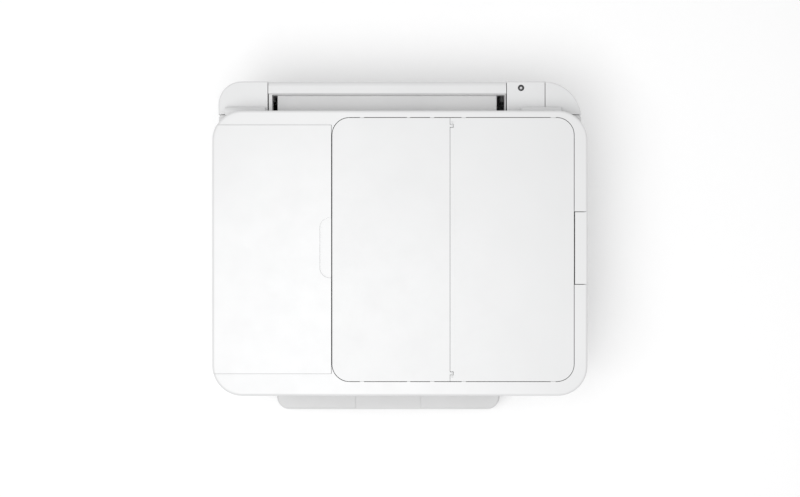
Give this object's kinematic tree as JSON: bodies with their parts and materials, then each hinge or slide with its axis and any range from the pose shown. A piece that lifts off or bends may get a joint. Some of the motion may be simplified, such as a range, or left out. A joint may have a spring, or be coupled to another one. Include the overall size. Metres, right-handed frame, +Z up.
{
  "type": "inkjet printer",
  "caption": "White all-in-one inkjet printer with flatbed scanner, page feeder lid with folding document tray, front paper drawer and output tray.",
  "frame": {"origin": "centre of the bounding box at its base, where the feet stand", "axes": "+X to the right seen from the front, +Y to the rear, +Z up"},
  "size_m": [0.44, 0.422, 0.2795],
  "materials": {
    "white_shell": "fine satin injection-moulded",
    "grey_shell": "satin",
    "tray_white": "fine texture",
    "dark_inner": "moulded",
    "mid_inner": "moulded",
    "roller_rubber": "ground",
    "foot_rubber": "moulded",
    "pad_foam": "white film over foam",
    "clear_glass": "polished",
    "screen_glass": "polished",
    "steel": "zinc-plated sheet",
    "motor_can": "drawn can",
    "gear_white": "acetal",
    "board_green": "solder mask",
    "ink_black": "moulded",
    "ink_colour": "moulded",
    "button_grey": "moulded"
  },
  "bodies": {
    "chassis": {"base_pan": "grey_shell", "rubber_feet": "foot_rubber", "left_side_cover": "white_shell", "right_side_cover": "white_shell", "rear_block": "white_shell", "deck_screw": "steel", "deck_recess": "grey_shell", "right_hinge_housing": "white_shell", "lid_hinge_pins": "steel", "front_frame": "mid_inner", "scanner_bed": "white_shell", "scanner_bezel": "grey_shell", "platen_glass": "clear_glass", "adf_glass_strip": "clear_glass", "output_tray": "grey_shell", "print_frame": "steel", "feed_motor": "motor_can", "platen": "dark_inner", "service_station": "mid_inner", "carriage_motor": "motor_can", "carriage_belt": "foot_rubber", "main_board": "board_green", "power_supply": "dark_inner", "power_inlet": "ink_black"},
    "rear_door": {"rear_cover": "white_shell"},
    "front_door": {"front_door": "white_shell"},
    "panel": {"control_panel": "white_shell", "touch_screen": "screen_glass"},
    "power_button": {"power_button": "button_grey"},
    "scan_head": {"scan_head": "dark_inner"},
    "lid": {"lid_pan": "white_shell", "lid_frame": "grey_shell", "lid_backing": "pad_foam", "adf_frame": "dark_inner", "adf_motor": "motor_can"},
    "feeder_cover": {"adf_cover": "white_shell"},
    "feed_drum": {"adf_drum": "roller_rubber"},
    "separation_roller": {"separation_roller": "roller_rubber"},
    "adf_pick_roller": {"adf_pick_roller": "roller_rubber"},
    "adf_idler": {"adf_idler_gear": "gear_white"},
    "document_tray": {"document_tray": "tray_white"},
    "tray_flap": {"tray_flap": "tray_white"},
    "guide_front": {"document_guide_front": "grey_shell"},
    "guide_rear": {"document_guide_rear": "grey_shell"},
    "output_stop": {"output_stop": "white_shell"},
    "drawer": {"paper_drawer": "grey_shell"},
    "width_guide_left": {"width_guide_left": "mid_inner"},
    "width_guide_right": {"width_guide_right": "mid_inner"},
    "tray_extension": {"tray_extension": "grey_shell"},
    "paper_stop": {"paper_stop": "grey_shell"},
    "feed_shaft": {"feed_shaft": "roller_rubber"},
    "exit_shaft": {"exit_shaft": "roller_rubber"},
    "transfer_gear": {"transfer_gear": "gear_white"},
    "carriage": {"print_carriage": "dark_inner", "cartridge_black": "ink_black", "cartridge_colour": "ink_colour"},
    "drive_pulley": {"drive_pulley": "steel"},
    "idler_pulley": {"idler_pulley": "gear_white"},
    "pick_arm": {"pick_arm": "mid_inner"},
    "pick_roller": {"pick_roller": "roller_rubber"}
  },
  "joints": [
    {"name": "lid_hinge", "type": "hinge", "parent": "chassis", "child": "lid", "pos_m": [0, 0.1738, 0.2365], "axis": [-1, 0, 0], "range_deg": [0, 75]},
    {"name": "feeder_cover_hinge", "type": "hinge", "parent": "lid", "child": "feeder_cover", "pos_m": [-0.2125, 0, 0.2445], "axis": [0, -1, 0], "range_deg": [0, 75]},
    {"name": "document_tray_hinge", "type": "hinge", "parent": "lid", "child": "document_tray", "pos_m": [-0.06, 0, 0.2725], "axis": [0, -1, 0], "range_deg": [0, 35]},
    {"name": "tray_flap_hinge", "type": "hinge", "parent": "document_tray", "child": "tray_flap", "pos_m": [0.0609, 0, 0.2772], "axis": [0, 1, 0], "range_deg": [0, 145]},
    {"name": "guide_front_slide", "type": "slide", "parent": "document_tray", "child": "guide_front", "axis": [0, 1, 0], "range_m": [0, 0.06]},
    {"name": "guide_rear_slide", "type": "slide", "parent": "document_tray", "child": "guide_rear", "axis": [0, 1, 0], "range_m": [-0.06, 0]},
    {"name": "output_stop_slide", "type": "slide", "parent": "lid", "child": "output_stop", "axis": [1, 0, 0], "range_m": [0, 0.06]},
    {"name": "feed_drum_spin", "type": "hinge", "parent": "lid", "child": "feed_drum", "pos_m": [-0.183, 0, 0.252], "axis": [0, -1, 0], "continuous": true},
    {"name": "separation_roller_spin", "type": "hinge", "parent": "lid", "child": "separation_roller", "pos_m": [-0.15944, 0, 0.263], "axis": [0, -1, 0], "continuous": true},
    {"name": "adf_idler_spin", "type": "hinge", "parent": "lid", "child": "adf_idler", "pos_m": [-0.14144, 0, 0.263], "axis": [0, -1, 0], "continuous": true},
    {"name": "adf_pick_roller_spin", "type": "hinge", "parent": "lid", "child": "adf_pick_roller", "pos_m": [-0.12344, 0, 0.263], "axis": [0, -1, 0], "continuous": true},
    {"name": "scan_head_slide", "type": "slide", "parent": "chassis", "child": "scan_head", "axis": [1, 0, 0], "range_m": [0, 0.31]},
    {"name": "rear_cover_hinge", "type": "hinge", "parent": "chassis", "child": "rear_door", "pos_m": [0, 0.2084, 0.1251], "axis": [-1, 0, 0], "range_deg": [0, 60]},
    {"name": "front_door_hinge", "type": "hinge", "parent": "chassis", "child": "front_door", "pos_m": [-0.016, -0.1644, 0.1096], "axis": [1, 0, 0], "range_deg": [0, 85]},
    {"name": "panel_hinge", "type": "hinge", "parent": "chassis", "child": "panel", "pos_m": [-0.016, -0.1644, 0.1899], "axis": [-1, 0, 0], "range_deg": [0, 45]},
    {"name": "power_button_press", "type": "slide", "parent": "panel", "child": "power_button", "axis": [0, 1, 0], "range_m": [0, 0.0015], "stiffness_N_per_m": 400},
    {"name": "drawer_slide", "type": "slide", "parent": "chassis", "child": "drawer", "axis": [0, -1, 0], "range_m": [0, 0.19]},
    {"name": "width_guide_left_slide", "type": "slide", "parent": "drawer", "child": "width_guide_left", "axis": [1, 0, 0], "range_m": [0, 0.05]},
    {"name": "width_guide_right_slide", "type": "slide", "parent": "drawer", "child": "width_guide_right", "axis": [1, 0, 0], "range_m": [-0.05, 0]},
    {"name": "tray_extension_slide", "type": "slide", "parent": "chassis", "child": "tray_extension", "axis": [0, -1, 0], "range_m": [0, 0.1]},
    {"name": "paper_stop_hinge", "type": "hinge", "parent": "tray_extension", "child": "paper_stop", "pos_m": [-0.016, -0.157, 0.0594], "axis": [-1, 0, 0], "range_deg": [0, 90]},
    {"name": "feed_shaft_spin", "type": "hinge", "parent": "chassis", "child": "feed_shaft", "pos_m": [0, 0.075, 0.106], "axis": [1, 0, 0], "continuous": true},
    {"name": "transfer_gear_spin", "type": "hinge", "parent": "chassis", "child": "transfer_gear", "pos_m": [-0.195, 0.0415, 0.106], "axis": [1, 0, 0], "continuous": true},
    {"name": "exit_shaft_spin", "type": "hinge", "parent": "chassis", "child": "exit_shaft", "pos_m": [0, 0.013, 0.106], "axis": [1, 0, 0], "continuous": true},
    {"name": "carriage_slide", "type": "slide", "parent": "chassis", "child": "carriage", "axis": [-1, 0, 0], "range_m": [0, 0.29]},
    {"name": "drive_pulley_spin", "type": "hinge", "parent": "chassis", "child": "drive_pulley", "pos_m": [-0.165, 0.089, 0.154], "axis": [0, 0, 1], "continuous": true},
    {"name": "idler_pulley_spin", "type": "hinge", "parent": "chassis", "child": "idler_pulley", "pos_m": [0.165, 0.089, 0.154], "axis": [0, 0, 1], "continuous": true},
    {"name": "pick_arm_swing", "type": "hinge", "parent": "chassis", "child": "pick_arm", "pos_m": [-0.016, 0.058, 0.078], "axis": [-1, 0, 0], "range_deg": [0, 18]},
    {"name": "pick_roller_spin", "type": "hinge", "parent": "pick_arm", "child": "pick_roller", "pos_m": [-0.016, 0.091, 0.066], "axis": [1, 0, 0], "continuous": true}
  ],
  "couplings": [
    {"joint": "guide_rear_slide", "follows": "guide_front_slide", "ratio": -1},
    {"joint": "width_guide_right_slide", "follows": "width_guide_left_slide", "ratio": -1},
    {"joint": "separation_roller_spin", "follows": "feed_drum_spin", "ratio": -1.6},
    {"joint": "adf_idler_spin", "follows": "feed_drum_spin", "ratio": 2},
    {"joint": "adf_pick_roller_spin", "follows": "feed_drum_spin", "ratio": -1.6},
    {"joint": "transfer_gear_spin", "follows": "feed_shaft_spin", "ratio": -1.4815},
    {"joint": "exit_shaft_spin", "follows": "feed_shaft_spin", "ratio": 1.3333},
    {"joint": "drive_pulley_spin", "follows": "carriage_slide", "rad_per_m": -153.85},
    {"joint": "idler_pulley_spin", "follows": "carriage_slide", "rad_per_m": -153.85}
  ]
}
